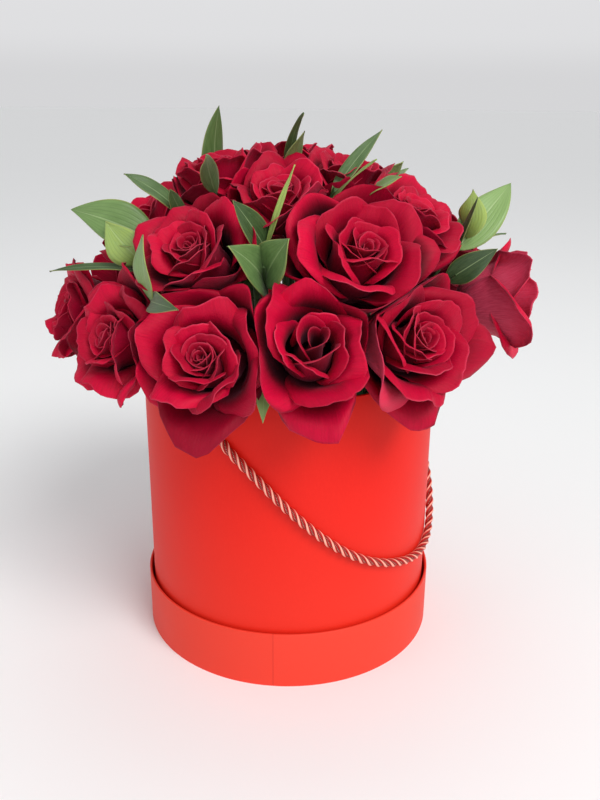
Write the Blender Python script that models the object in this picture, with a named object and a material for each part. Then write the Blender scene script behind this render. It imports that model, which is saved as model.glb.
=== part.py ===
"""A round hat box filled with red roses and ruscus, standing on its own lid.

The origin is the centre of the lid's underside, +Z is up and -Y is the front.
Azimuths are in degrees, from the front (-Y) towards +X. All sizes are in metres.
"""

import math

import bmesh
import bpy
from mathutils import Matrix, Vector

# Driving dimensions
GAP = 0.0003            # clearance between neighbouring solids
BOX_RADIUS = 0.100      # outside of the tube
BOX_HEIGHT = 0.200      # top edge of the tube above the surface
BOARD = 0.0020          # thickness of the tube, the floor and the lid's disc
LID_RADIUS = 0.1035     # outside of the lid's rim
LID_HEIGHT = 0.040
LID_BOARD = 0.0016      # thickness of the lid's rim
ROUND_STEPS = 40        # sides of the round pieces

LINER_TOP = 0.163
LINER_FILM = 0.0006
FOAM_TOP = 0.160
STEM_DEPTH = 0.045      # how deep the stems stand in the foam
STEM_RADIUS = 0.0023
STEM_SPLAY = 0.86       # radius of a stem's foot as a share of its hole's radius
STEM_NECK = 0.014       # length of the straight neck under a bloom
TWIG_SPLAY = 0.90       # the same share for a leafy spray
TWIG_RADIUS = 0.0011
TWIG_PULL = 0.045       # depths below a gap's outer end where a twig heads for the gap
TWIG_END = 0.028        # where it is in line with the gap
TWIG_TIP = 0.010        # and where it stops

ROPE_RADIUS = 0.00275
ROPE_STEP = 0.010       # distance between the points of the rope's centreline
ROPE_HOLE = 0.0034      # radius of the two slanted holes in the tube
ROPE_BEND = 4           # points of the rope from a knot to its bend outside the tube
KNOT_RADIUS = 0.0062

# The calyx: distance under the bloom, and radius
CALYX = ((0.0090, 0.0034), (0.0034, 0.0058), (0.0018, 0.0060), (0.0, 0.0050))
SEPAL_REACH = 0.019     # from the bloom's axis to a sepal's tip
SEPAL_DROP = 0.007      # and how far the tip hangs under the bloom
SEPAL_TIP = 0.35        # a sepal's tip as a share of its root

BLADE = 0.0008          # thickness of petals and leaves
BLOOM_WIDTH = 0.106     # across the outer petals of a bloom of size 1
BLOOM_DEPTH = 0.054     # from the calyx to the bud's tip
MIDDLE = 0.55           # where a bloom is widest, as a share of its depth
NEIGHBOUR_REACH = 0.12  # blooms nearer than this press on each other
CELL_CLEAR = 0.0015     # a bloom keeps this far from the plane to its neighbour
CELL_SHARP = 6          # how sharply the petals turn from one such plane to the next
ROSE_TURN = 1.9         # from one rose's petals to the next rose's, in radians
BUD_SIDES = 10
PETAL_RING = 1          # the ring of the bud's profile that the loose petals grow from
PETAL_SIDES = 4         # sides of the bud from one petal to the next

# The rope from the front knot, out through the tube, round the right side and back in:
# azimuth, radius, height
ROPE_ROUTE = (
    (-30.7, 0.0874, 0.1808), (-28.5, 0.0918, 0.1778), (-25.5, 0.0981, 0.1736),
    (-23.9, 0.1008, 0.1713), (-22.1, 0.1025, 0.1685), (-20.3, 0.1031, 0.1656),
    (-16.7, 0.1031, 0.1595), (-9.0, 0.1031, 0.1460), (-2.0, 0.1031, 0.1330),
    (5.0, 0.1031, 0.1205), (12.0, 0.1031, 0.1090), (20.0, 0.1031, 0.0975),
    (30.0, 0.1031, 0.0865), (41.0, 0.1031, 0.0785), (52.0, 0.1031, 0.0730),
    (62.0, 0.1031, 0.0710), (71.0, 0.1031, 0.0730), (80.0, 0.1031, 0.0805),
    (88.0, 0.1031, 0.0920), (97.0, 0.1031, 0.1065), (107.0, 0.1031, 0.1210),
    (118.0, 0.1031, 0.1335), (130.0, 0.1031, 0.1450), (141.0, 0.1031, 0.1550),
    (150.0, 0.1031, 0.1638), (152.1, 0.1025, 0.1660), (154.2, 0.1008, 0.1680),
    (156.1, 0.0981, 0.1698), (159.5, 0.0918, 0.1730), (162.1, 0.0874, 0.1752),
)

# Each rose: azimuth, radius and height of its eye, then the azimuth it faces and its
# tilt from straight up, its size, how far it is open, and its foam hole's radius
ROSES = (
    (-80, 0.160, 0.239, -71, 80, 0.90, 0.75, 0.070),
    (-51.5, 0.151, 0.238, -53, 78, 0.98, 0.85, 0.070),
    (-21, 0.147, 0.237, -22, 79, 1.10, 1.00, 0.070),
    (6, 0.144, 0.248, 5, 75, 1.08, 0.90, 0.070),
    (34, 0.146, 0.244, 33, 77, 1.12, 1.00, 0.070),
    (76, 0.161, 0.252, 90, 80, 0.94, 0.70, 0.070),
    (112, 0.150, 0.240, 112, 77, 1.12, 0.95, 0.070),
    (155, 0.150, 0.240, 155, 77, 1.12, 0.90, 0.070),
    (-159, 0.150, 0.240, -159, 77, 1.12, 1.00, 0.070),
    (-118, 0.150, 0.240, -118, 77, 1.12, 0.85, 0.070),
    (-84, 0.104, 0.304, -84, 46, 1.00, 0.90, 0.044),
    (-32, 0.118, 0.298, -32, 52, 0.98, 0.95, 0.044),
    (23.5, 0.116, 0.297, 22, 50, 1.18, 1.10, 0.044),
    (56, 0.099, 0.315, 55, 42, 0.94, 0.92, 0.044),
    (94, 0.122, 0.287, 94, 58, 0.96, 0.85, 0.044),
    (138, 0.114, 0.294, 138, 52, 1.08, 1.00, 0.044),
    (-170, 0.114, 0.296, -170, 52, 1.08, 0.90, 0.044),
    (-127, 0.114, 0.296, -127, 52, 1.06, 1.00, 0.044),
    (-5, 0.074, 0.329, -5, 34, 0.94, 0.92, 0.019),
    (-66, 0.054, 0.339, -66, 22, 0.94, 0.85, 0.019),
    (48, 0.054, 0.338, 48, 22, 0.90, 0.85, 0.019),
    (178, 0.048, 0.341, 178, 16, 1.00, 0.95, 0.019),
)

# Loose petals of a bloom: place in the bloom, 0 at the bud's middle to 1 outermost
PETAL_PLACES = (0.67, 0.74, 0.83, 0.91, 1.0)

# Leans of a petal from the bloom's axis, its length and its half width, each for one
# at the bud's middle and for the outermost
BASE_LEANS = (48, 82)
MIDDLE_LEANS = (-6, 40)
TIP_LEANS = (2, 112)
PETAL_LENGTHS = (0.050, 0.066)
PETAL_HALF_WIDTHS = (0.015, 0.034)

# Rows of a loose petal above its root: how far along it, and its points across
PETAL_ROWS = ((0.45, (-0.55, 0.0, 0.55)), (0.78, (-0.92, 0.0, 0.92)), (1.0, (-0.62, 0.0, 0.62)))

PETAL_CORNER = 0.90     # how far along the last row's outer points are

# The bud and the folded petals round it, in half section for a bloom of size 1:
# radius, height as a share of the bloom's depth, and how far the lobes stand out
BUD_PROFILE = (
    (0.0062, 0.006, 0.0), (0.0070, 0.022, 0.0), (0.0073, 0.040, 0.0),
    (0.0095, 0.12, 0.0), (0.0140, 0.34, 0.3), (0.0195, 0.60, 1.0),
    (0.0230, 0.77, 1.6), (0.0185, 0.78, 1.6), (0.0145, 0.72, 0.6), (0.0130, 0.86, 1.0),
    (0.0080, 0.98, 1.4),
)
BUD_LOBE = 0.0013
BUD_DIP = 0.90          # height of the dip at the bud's middle

# Each leafy spray: its foam hole (azimuth, radius) and its twigs. A twig has the numbers
# of the three roses that it comes out between, or the azimuth, radius, height and tilt
# of its end; its start above the foam; and its leaves: depth of the stalk below the
# twig's outer end, heading clockwise from up, rise from the blooms' surface, droop
# towards the tip, length, width and roll
SPRAYS = (
    (-33, 0.060, (
        ((2, 11, 12), 0.0, (
            (0.014, -35, 83, 30, 0.033, 0.024, -20),
            (0.025, -123, 59, 30, 0.067, 0.007, 0))),
        ((-57.6, 0.1045, 0.2925, 46), 0.010, ((0.012, -90, 62, 30, 0.060, 0.030, 10),)),
        ((2, 3, 12), 0.012, (
            (0.009, 38, 58, 20, 0.052, 0.014, 30), (0.009, 105, 55, 40, 0.052, 0.012, 0))),
    )),
    (-40, 0.034, (
        ((12, 19, 20), 0.0, ((0.010, 142, 66, 30, 0.054, 0.013, -30),)),
        ((11, 12, 20), 0.012, (
            (0.012, -116, 87, 30, 0.040, 0.013, 20), (0.016, 98, 72, 20, 0.025, 0.010, 0))),
    )),
    (-14, 0.054, (
        ((4, 12, 13), 0.0, (
            (0.040, -90, 91, 40, 0.057, 0.025, 20), (0.027, 47, 79, 20, 0.041, 0.016, -20))),
        ((12, 13, 19), 0.020, (
            (0.018, 27, 59, 20, 0.053, 0.004, 0), (0.020, -60, 70, 20, 0.040, 0.015, 0))),
        ((-6.5, 0.128, 0.222, 100), 0.004, (
            (0.030, 157, 55, 30, 0.030, 0.015, 90), (0.021, 182, 79, 60, 0.038, 0.013, 50))),
    )),
    (24, 0.034, (
        ((19, 20, 21), 0.0, (
            (0.024, 149, 68, 20, 0.045, 0.011, 0), (0.018, 157, 75, 40, 0.055, 0.006, 20))),
        ((13, 19, 21), 0.014, (
            (0.014, 46, 43, 30, 0.052, 0.010, 20), (0.020, 124, 77, 20, 0.046, 0.004, 0))),
        ((13, 14, 21), 0.008, ((0.017, 119, 58, 20, 0.026, 0.013, 0),)),
    )),
    (72, 0.052, (
        ((6, 14, 15), 0.0, (
            (0.015, 74, 76, 30, 0.060, 0.025, 20), (0.010, -59, 35, 10, 0.024, 0.017, 0),
            (0.026, -80, 68, 20, 0.051, 0.007, 40), (0.013, 105, 43, 20, 0.045, 0.004, 0))),
        ((5, 6, 14), 0.012, ((0.019, 65, 72, 30, 0.036, 0.016, 0),)),
    )),
    (118, 0.046, (
        ((15, 16, 21), 0.0, (
            (0.016, 120, 70, 30, 0.040, 0.018, 15), (0.018, -120, 74, 30, 0.036, 0.016, -15))),
        ((7, 8, 16), 0.012, (
            (0.018, -30, 78, 30, 0.060, 0.026, 10), (0.020, 50, 80, 40, 0.052, 0.024, -20))),
    )),
    (-150, 0.046, (
        ((9, 17, 18), 0.0, (
            (0.018, -50, 70, 30, 0.060, 0.026, 20), (0.020, 60, 74, 40, 0.054, 0.024, -10))),
        ((8, 9, 17), 0.014, (
            (0.016, 10, 70, 30, 0.050, 0.024, 10), (0.010, 178, 50, 30, 0.046, 0.018, 5))),
        ((11, 18, 20), 0.008, (
            (0.035, 49, 65, 30, 0.072, 0.021, 25), (0.016, -150, 50, 30, 0.034, 0.016, 0))),
    )),
)
LEAF_ROWS = ((0.0, (-1.0, 1.0)), (0.30, (-1.0, 0.0, 1.0)), (0.65, (-1.0, 0.0, 1.0)),
             (1.0, (0.0,)))
LEAF_STALK = 0.0010     # half width of a leaf's stalk
LEAF_FOLD = 0.18        # how far a leaf's edges rise over its midrib

COLOURS = {             # red, green, blue, roughness
    "paper": (0.78, 0.035, 0.018, 0.55),
    "rope": (0.62, 0.07, 0.05, 0.45),
    "foam": (0.05, 0.16, 0.05, 0.90),
    "film": (0.75, 0.78, 0.78, 0.20),
    "petal": (0.42, 0.004, 0.018, 0.60),
    "stem": (0.10, 0.22, 0.05, 0.60),
    "leaf": (0.05, 0.16, 0.035, 0.45),
}


def polar(azimuth, radius, height):
    """Point at an azimuth in degrees, a radius and a height."""
    angle = math.radians(azimuth)
    return Vector((radius * math.sin(angle), -radius * math.cos(angle), height))


def smoothstep(low, high, value):
    t = min(max((value - low) / (high - low), 0.0), 1.0)
    return t * t * (3.0 - 2.0 * t)


def mix(a, b, t):
    return a + (b - a) * t


def add_material(obj, finish):
    """Give the object its own material of a named finish."""
    red, green, blue, roughness = COLOURS[finish]
    material = bpy.data.materials.new(obj.name)
    material.use_nodes = True
    shader = material.node_tree.nodes["Principled BSDF"]
    shader.inputs["Base Color"].default_value = (red, green, blue, 1.0)
    shader.inputs["Roughness"].default_value = roughness
    shader.inputs["Metallic"].default_value = 0.0
    obj.data.materials.clear()
    obj.data.materials.append(material)


def add_object(name, bm):
    """New object from a bmesh, shaded smooth with its edges kept."""
    mesh = bpy.data.meshes.new(name)
    bm.to_mesh(mesh)
    bm.free()
    mesh.shade_smooth()
    mesh.set_sharp_from_angle(angle=math.radians(40))
    obj = bpy.data.objects.new(name, mesh)
    bpy.context.scene.collection.objects.link(obj)
    return obj


def turned(name, profile, steps=ROUND_STEPS):
    """Solid of revolution from a closed profile of (radius, height) points."""
    bm = bmesh.new()
    points = [bm.verts.new((radius, 0.0, height)) for radius, height in profile]
    edges = [bm.edges.new((points[i - 1], points[i])) for i in range(len(points))]
    bmesh.ops.spin(bm, geom=points + edges, cent=(0, 0, 0), axis=(0, 0, 1),
                   angle=math.tau, steps=steps, use_merge=True)
    bmesh.ops.remove_doubles(bm, verts=bm.verts, dist=1e-6)
    bmesh.ops.recalc_face_normals(bm, faces=bm.faces)
    return add_object(name, bm)


def disc(name, radius, low, high):
    """Flat round board."""
    bm = bmesh.new()
    bmesh.ops.create_cone(bm, cap_ends=True, segments=ROUND_STEPS, radius1=radius,
                          radius2=radius, depth=high - low)
    bmesh.ops.translate(bm, verts=bm.verts, vec=(0, 0, (low + high) / 2))
    return add_object(name, bm)


def sweep(points, radii, sides):
    """Mesh of a round solid along points, with a radius at each of them."""
    bm = bmesh.new()
    rings = []
    side = Vector((1.0, 0.0, 0.0))
    for index, point in enumerate(points):
        ahead = points[min(index + 1, len(points) - 1)]
        behind = points[max(index - 1, 0)]
        along = (ahead - behind).normalized()
        side = (side - along * side.dot(along)).normalized()
        across = along.cross(side)
        ring = []
        for step in range(sides):
            turn = math.tau * step / sides
            offset = side * math.cos(turn) + across * math.sin(turn)
            ring.append(bm.verts.new(point + offset * radii[index]))
        rings.append(ring)
    for lower, upper in zip(rings, rings[1:]):
        for step in range(sides):
            following = (step + 1) % sides
            bm.faces.new((lower[step], lower[following], upper[following], upper[step]))
    bm.faces.new(list(reversed(rings[0])))
    bm.faces.new(rings[-1])
    return bm


def fuse(base, parts):
    """Join the parts to the base by one Boolean union, apply it and remove them."""
    group = bpy.data.collections.new(base.name + "_parts")
    bpy.context.scene.collection.children.link(group)
    for part in parts:
        bpy.context.scene.collection.objects.unlink(part)
        group.objects.link(part)
    union = base.modifiers.new("fuse", "BOOLEAN")
    union.operation = "UNION"
    union.operand_type = "COLLECTION"
    union.collection = group
    union.solver = "MANIFOLD"
    graph = bpy.context.evaluated_depsgraph_get()
    mesh = bpy.data.meshes.new_from_object(base.evaluated_get(graph))
    base.modifiers.clear()
    base.data = mesh
    for part in parts:
        bpy.data.objects.remove(part)
    bpy.data.collections.remove(group)
    keep_largest_body(base)
    return base


def keep_largest_body(obj):
    """Drop loose scraps that a union left behind."""
    bm = bmesh.new()
    bm.from_mesh(obj.data)
    unseen = set(bm.faces)
    bodies = []
    while unseen:
        body, front = set(), [unseen.pop()]
        while front:
            face = front.pop()
            body.add(face)
            for edge in face.edges:
                for other in edge.link_faces:
                    if other in unseen:
                        unseen.remove(other)
                        front.append(other)
        bodies.append(body)
    bodies.sort(key=len)
    scraps = [face for body in bodies[:-1] for face in body]
    bmesh.ops.delete(bm, geom=scraps, context="FACES")
    bm.to_mesh(obj.data)
    bm.free()


def curve_points(start, start_pull, end_pull, end, count):
    """Points of a cubic curve between two ends with a pull point for each."""
    points = []
    for index in range(count):
        t = index / (count - 1)
        points.append(start * (1 - t) ** 3 + start_pull * (3 * t * (1 - t) ** 2)
                      + end_pull * (3 * t * t * (1 - t)) + end * t ** 3)
    return points


def through(points, step):
    """Evenly spaced points of a smooth curve through the given points."""
    ends = [points[0] * 2 - points[1]] + points + [points[-1] * 2 - points[-2]]
    slopes = []
    for before, here, after in zip(ends, ends[1:], ends[2:]):
        back, ahead = (here - before).length, (after - here).length
        slopes.append((here - before) * (ahead / back / (back + ahead))
                      + (after - here) * (back / ahead / (back + ahead)))
    fine = []
    for start, end, slope, next_slope in zip(points, points[1:], slopes, slopes[1:]):
        span = (end - start).length
        pull, next_pull = slope * (span / 3), next_slope * (span / 3)
        fine += curve_points(start, start + pull, end - next_pull, end, 17)[:-1]
    fine.append(points[-1])
    total = sum((b - a).length for a, b in zip(fine, fine[1:]))
    count = max(round(total / step), 1)
    spaced, run, target = [fine[0]], 0.0, total / count
    for a, b in zip(fine, fine[1:]):
        span = (b - a).length
        while run + span >= target and len(spaced) < count:
            spaced.append(a.lerp(b, (target - run) / span))
            target += total / count
        run += span
    return spaced + [fine[-1]]


class Rose:
    """Place of one rose: its eye, its axis, its base on the calyx and its cell."""

    def __init__(self, number, row):
        azimuth, radius, height, facing, tilt, size, opening, hole_radius = row
        self.number = number
        self.size = size
        self.opening = opening
        self.eye = polar(azimuth, radius, height)
        lean = math.radians(tilt)
        self.axis = polar(facing, math.sin(lean), math.cos(lean))
        self.depth = BLOOM_DEPTH * mix(1.0, size, 0.5)
        self.base = self.eye - self.axis * self.depth
        self.middle = self.base + self.axis * (self.depth * MIDDLE)
        self.hole_top = polar(azimuth, hole_radius, FOAM_TOP)
        self.hole_end = polar(azimuth, hole_radius * STEM_SPLAY, FOAM_TOP - STEM_DEPTH)
        turn = Matrix.Rotation(number * ROSE_TURN, 4, "Z")
        upright = self.axis.to_track_quat("Z", "Y").to_matrix().to_4x4()
        self.frame = Matrix.Translation(self.base) @ upright @ turn
        self.reach = size * BLOOM_WIDTH / 2
        self.walls = []

    def find_walls(self, roses):
        """Planes that part this bloom from its neighbours, the larger bloom further off."""
        for other in roses:
            span = other.middle - self.middle
            distance = span.length
            if other is not self and distance < NEIGHBOUR_REACH:
                offset = (distance ** 2 + self.reach ** 2 - other.reach ** 2) / (2 * distance)
                self.walls.append((span / distance, offset - CELL_CLEAR))

    def place(self, point):
        """Put a point of the bloom in the box, drawn in where a neighbour presses on it."""
        radius = max(math.hypot(point.x, point.y), 1e-6)
        outward = self.frame.to_3x3() @ Vector((point.x / radius, point.y / radius, 0.0))
        height = point.z - self.depth * MIDDLE
        press = 1.0
        for direction, offset in self.walls:
            facing = outward.dot(direction)
            if facing > 0.02:
                room = (offset - height * self.axis.dot(direction)) / facing
                press += (self.reach / max(room, 0.2 * self.reach)) ** CELL_SHARP
        given_way = 1.0 - press ** (-1.0 / CELL_SHARP)
        drawn = 1.0 - given_way * (0.5 + 0.5 * radius / self.reach)
        return self.frame @ Vector((point.x * drawn, point.y * drawn, point.z))


def petal_point(place, across, along, size, opening):
    """Point of a petal in its bloom's frame: across -1 to 1, along 0 at its root to 1."""
    base_lean = mix(*BASE_LEANS, place)
    middle_lean = mix(*MIDDLE_LEANS, place ** 1.3) * opening
    tip_lean = mix(*TIP_LEANS, place ** 1.4) * mix(0.6, 1.0, opening)
    roll_start = 0.80 - 0.22 * abs(across) ** 1.5
    length = mix(*PETAL_LENGTHS, place) * size
    radius, height, steps = 0.0025 * size, 0.001, 24
    for step in range(round(along * steps)):
        t = (step + 0.5) / steps
        lean = mix(base_lean, middle_lean, smoothstep(0.0, 0.42, t))
        lean = mix(lean, tip_lean, smoothstep(roll_start - 0.2, roll_start + 0.25, t))
        radius += math.sin(math.radians(lean)) * length / steps
        height += math.cos(math.radians(lean)) * length / steps
    outline = math.sin(math.pi * min(0.12 + 0.72 * along, 1.0)) ** 0.8
    half_width = mix(*PETAL_HALF_WIDTHS, place) * size * outline
    turn = across * min(half_width / max(radius, 0.004), 1.9)
    return Vector((radius * math.cos(turn), radius * math.sin(turn), height))


def strip(lower, upper):
    """Triangles between two rows of a blade, as (row, place in it) triples."""
    faces = []
    low, up = 0, 0
    while low < lower - 1 or up < upper - 1:
        step_up = (up + 1) / upper <= (low + 1) / lower
        if up < upper - 1 and (step_up or low == lower - 1):
            faces.append(((0, low), (1, up + 1), (1, up)))
            up += 1
        else:
            faces.append(((0, low), (0, low + 1), (1, up)))
            low += 1
    return faces


def thicken(rows, thickness):
    """Outer and inner points over rows of middle points, along the blade's normals."""
    normals = [[Vector() for _ in row] for row in rows]
    for level in range(len(rows) - 1):
        for face in strip(len(rows[level]), len(rows[level + 1])):
            spots = [(level + up, place) for up, place in face]
            a, b, c = (rows[up][place] for up, place in spots)
            for up, place in spots:
                normals[up][place] += (b - a).cross(c - a).normalized()
    blades = []
    for row, row_normals in zip(rows, normals):
        offsets = [normal.normalized() * (thickness / 2) for normal in row_normals]
        blades.append(([p + o for p, o in zip(row, offsets)],
                       [p - o for p, o in zip(row, offsets)]))
    return blades


def skin_blade(bm, outer, inner, blades):
    """Faces of a thin blade from its root edges on; its two sides have the same triangles."""
    for outer_points, inner_points in blades:
        new_outer = [bm.verts.new(point) for point in outer_points]
        new_inner = [bm.verts.new(point) for point in inner_points]
        for face in strip(len(outer), len(new_outer)):
            bm.faces.new([(outer, new_outer)[up][place] for up, place in face])
            bm.faces.new([(inner, new_inner)[up][place] for up, place in reversed(face)])
        bm.faces.new((inner[0], outer[0], new_outer[0], new_inner[0]))
        bm.faces.new((outer[-1], inner[-1], new_inner[-1], new_outer[-1]))
        outer, inner = new_outer, new_inner
    for k in range(len(outer) - 1):
        bm.faces.new((outer[k], outer[k + 1], inner[k + 1], inner[k]))


def grow_blade(bm, outer, inner, rows):
    """Grow a thin blade out of a solid, from two edges of it."""
    root = [(a.co + b.co) / 2 for a, b in zip(outer, inner)]
    skin_blade(bm, outer, inner, thicken([root] + rows, BLADE)[1:])


def free_blade(name, rows):
    """Thin blade that is a solid of its own."""
    bm = bmesh.new()
    blades = thicken(rows, BLADE)
    outer, inner = ([bm.verts.new(point) for point in points] for points in blades[0])
    bm.faces.new((inner[0], inner[1], outer[1], outer[0]))
    skin_blade(bm, outer, inner, blades[1:])
    return add_object(name, bm)


def petal_rows(rose, place, turn):
    """Points of a petal in rows, from above its root to its pointed edge."""
    rows = []
    for along, columns in PETAL_ROWS:
        row = []
        for across in columns:
            reach = along if across == 0.0 or along < 1.0 else PETAL_CORNER
            point = petal_point(place, across, reach, rose.size, rose.opening)
            row.append(rose.place(turn @ point))
        rows.append(row)
    return rows


def make_bloom(rose):
    """Turned bud with lobes raised by a formula, and loose petals grown from its foot."""
    bm = bmesh.new()
    rings = []
    for radius, share, stand_out in BUD_PROFILE:
        ring = []
        for side in range(BUD_SIDES):
            turn = side / BUD_SIDES
            lobe = 2.0 * ((3.0 * (turn + 0.35 * share)) % 1.0) - 1.0
            raised = stand_out * BUD_LOBE * rose.size * lobe
            around = Vector((math.cos(math.tau * turn), math.sin(math.tau * turn), 0.0))
            point = around * (radius * rose.size + raised)
            point.z = share * rose.depth + raised * 0.7
            ring.append(bm.verts.new(rose.place(point)))
        rings.append(ring)
    bm.faces.new(list(reversed(rings[0])))
    tip = bm.verts.new(rose.place(Vector((0.0, 0.0, BUD_DIP * rose.depth))))
    roots = {index * PETAL_SIDES % BUD_SIDES: index for index in range(len(PETAL_PLACES))}
    for level, (lower, upper) in enumerate(zip(rings, rings[1:])):
        for k in range(BUD_SIDES):
            if level != PETAL_RING or k not in roots:
                following = (k + 1) % BUD_SIDES
                bm.faces.new((lower[k], lower[following], upper[following], upper[k]))
    for k in range(BUD_SIDES):
        bm.faces.new((rings[-1][k - 1], rings[-1][k], tip))
    for k, index in roots.items():
        turn = Matrix.Rotation(math.tau * (k + 0.5) / BUD_SIDES, 4, "Z")
        grow_blade(bm, rings[PETAL_RING][k:k + 2], rings[PETAL_RING + 1][k:k + 2],
                   petal_rows(rose, PETAL_PLACES[index], turn))
    add_material(add_object(f"rose_bloom_{rose.number:02d}", bm), "petal")


def make_stem(rose):
    """Stem from its foam hole to the calyx under the bloom, with five sepals."""
    up = (rose.hole_top - rose.hole_end).normalized()
    neck = rose.base - rose.axis * STEM_NECK
    bend = curve_points(rose.hole_top, rose.hole_top + up * 0.030,
                        neck - rose.axis * 0.016, neck, 4)
    points = [rose.hole_end] + bend
    radii = [STEM_RADIUS] * len(points)
    for back, radius in CALYX:
        points.append(rose.base - rose.axis * back)
        radii.append(radius)
    bm = sweep(points, radii, 5)
    bm.faces.ensure_lookup_table()
    ring = bm.faces[-7:-2]
    for face in list(ring):
        outward = face.calc_center_median() - rose.base
        outward = (outward - rose.axis * outward.dot(rose.axis)).normalized()
        tip = rose.base + outward * SEPAL_REACH - rose.axis * SEPAL_DROP
        sepal = bmesh.ops.extrude_discrete_faces(bm, faces=[face])["faces"][0]
        middle = sepal.calc_center_median()
        for vert in sepal.verts:
            vert.co = tip + (vert.co - middle) * SEPAL_TIP
    add_material(add_object(f"rose_stem_{rose.number:02d}", bm), "stem")


def rope_points():
    """The rope's centreline, evenly spaced on a smooth curve through its route."""
    return through([polar(*row) for row in ROPE_ROUTE], ROPE_STEP)


def make_box():
    """Tube with its two rope holes, its floor, and the lid that it stands in."""
    low = BOARD + GAP
    wall = turned("box_wall", ((BOX_RADIUS, low), (BOX_RADIUS, BOX_HEIGHT),
                               (BOX_RADIUS - BOARD, BOX_HEIGHT), (BOX_RADIUS - BOARD, low)))
    drills = bpy.data.collections.new("rope_hole_drills")
    bpy.context.scene.collection.children.link(drills)
    route = rope_points()
    for name, bend in (("front_rope_drill", route[:ROPE_BEND]),
                       ("back_rope_drill", route[-ROPE_BEND:])):
        drill = add_object(name, sweep(bend, [ROPE_HOLE] * len(bend), 8))
        hide_tool(drill, drills)
    cut = wall.modifiers.new("rope holes", "BOOLEAN")
    cut.operation = "DIFFERENCE"
    cut.operand_type = "COLLECTION"
    cut.collection = drills
    cut.solver = "EXACT"
    add_material(wall, "paper")
    inside = BOX_RADIUS - BOARD - GAP
    add_material(disc("box_floor", inside, low, low + BOARD), "paper")
    rim = turned("lid_rim", ((LID_RADIUS, 0.0), (LID_RADIUS, LID_HEIGHT),
                             (LID_RADIUS - LID_BOARD, LID_HEIGHT),
                             (LID_RADIUS - LID_BOARD, 0.0)))
    add_material(rim, "paper")
    add_material(disc("lid_disc", LID_RADIUS - LID_BOARD - GAP, 0.0, BOARD), "paper")


def hide_tool(obj, group):
    """Keep a cutting shape out of the model."""
    bpy.context.scene.collection.objects.unlink(obj)
    group.objects.link(obj)
    obj.hide_render = True
    obj.display_type = "WIRE"


def make_filling(stem_lines):
    """Film cup and the foam block in it, with a plain hole for every stem."""
    low = 2 * (BOARD + GAP) + GAP
    outside = BOX_RADIUS - BOARD - GAP
    inside = outside - LINER_FILM
    liner = turned("liner_film", ((0.0, low), (outside, low), (outside, LINER_TOP),
                                  (inside, LINER_TOP), (inside, low + LINER_FILM),
                                  (0.0, low + LINER_FILM)))
    add_material(liner, "film")
    foam = disc("floral_foam", inside - GAP, low + LINER_FILM + GAP, FOAM_TOP)
    drills = bpy.data.collections.new("stem_drills")
    bpy.context.scene.collection.children.link(drills)
    for number, (top, end, radius) in enumerate(stem_lines):
        along = (end - top).normalized()
        drill = add_object(f"stem_drill_{number}",
                           sweep([end + along * GAP, top - along * 0.004],
                                 [radius + 2 * GAP] * 2, 5))
        hide_tool(drill, drills)
    cut = foam.modifiers.new("stem holes", "BOOLEAN")
    cut.operation = "DIFFERENCE"
    cut.operand_type = "COLLECTION"
    cut.collection = drills
    cut.solver = "EXACT"
    add_material(foam, "foam")


def make_rope():
    """Rope handle along its route, with a knot at each end inside the tube."""
    points = rope_points()
    curve = bpy.data.curves.new("rope_handle", "CURVE")
    curve.dimensions = "3D"
    curve.bevel_depth = ROPE_RADIUS
    curve.bevel_resolution = 2
    curve.use_fill_caps = True
    spline = curve.splines.new("POLY")
    spline.points.add(len(points) - 1)
    for spot, point in zip(spline.points, points):
        spot.co = (*point, 1.0)
    rope = bpy.data.objects.new("rope_handle", curve)
    bpy.context.scene.collection.objects.link(rope)
    add_material(rope, "rope")
    for name, end, inner in (("rope_knot_front", points[0], points[1]),
                             ("rope_knot_back", points[-1], points[-2])):
        outward = (end - inner).normalized()
        bm = bmesh.new()
        bmesh.ops.create_icosphere(bm, subdivisions=2, radius=KNOT_RADIUS)
        place = Matrix.Translation(end + outward * (KNOT_RADIUS + GAP))
        bmesh.ops.transform(bm, verts=bm.verts, matrix=place)
        add_material(add_object(name, bm), "rope")


class Gap:
    """Line that a twig follows outwards: its outer end and its directions there."""

    def __init__(self, end, out):
        self.end = end
        self.out = out
        upward = Vector((0.0, 0.3, 1.0))
        self.up = (upward - out * upward.dot(out)).normalized()
        self.right = self.up.cross(out)

    def at(self, depth):
        return self.end - self.out * depth


def find_gap(roses, where):
    """Gap where three blooms meet, its end level with their eyes, or one at a place."""
    if len(where) == 4:
        azimuth, radius, height, tilt = where
        lean = math.radians(tilt)
        return Gap(polar(azimuth, radius, height), polar(azimuth, math.sin(lean), math.cos(lean)))
    first, second, third = (roses[number - 1] for number in where)
    rows, offsets = [], []
    for other in (second, third):
        span = other.middle - first.middle
        distance = span.length
        offset = (distance ** 2 + first.reach ** 2 - other.reach ** 2) / (2 * distance)
        rows.append(span / distance)
        offsets.append(rows[-1].dot(first.middle) + offset)
    rows.append((second.eye - first.eye).cross(third.eye - first.eye).normalized())
    offsets.append(rows[-1].dot(first.eye))
    end = Matrix(rows).inverted() @ Vector(offsets)
    out = rows[0].cross(rows[1]).normalized()
    if out.dot(end - Vector((0.0, 0.0, BOX_HEIGHT))) < 0.0:
        out.negate()
    return Gap(end, out)


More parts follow.
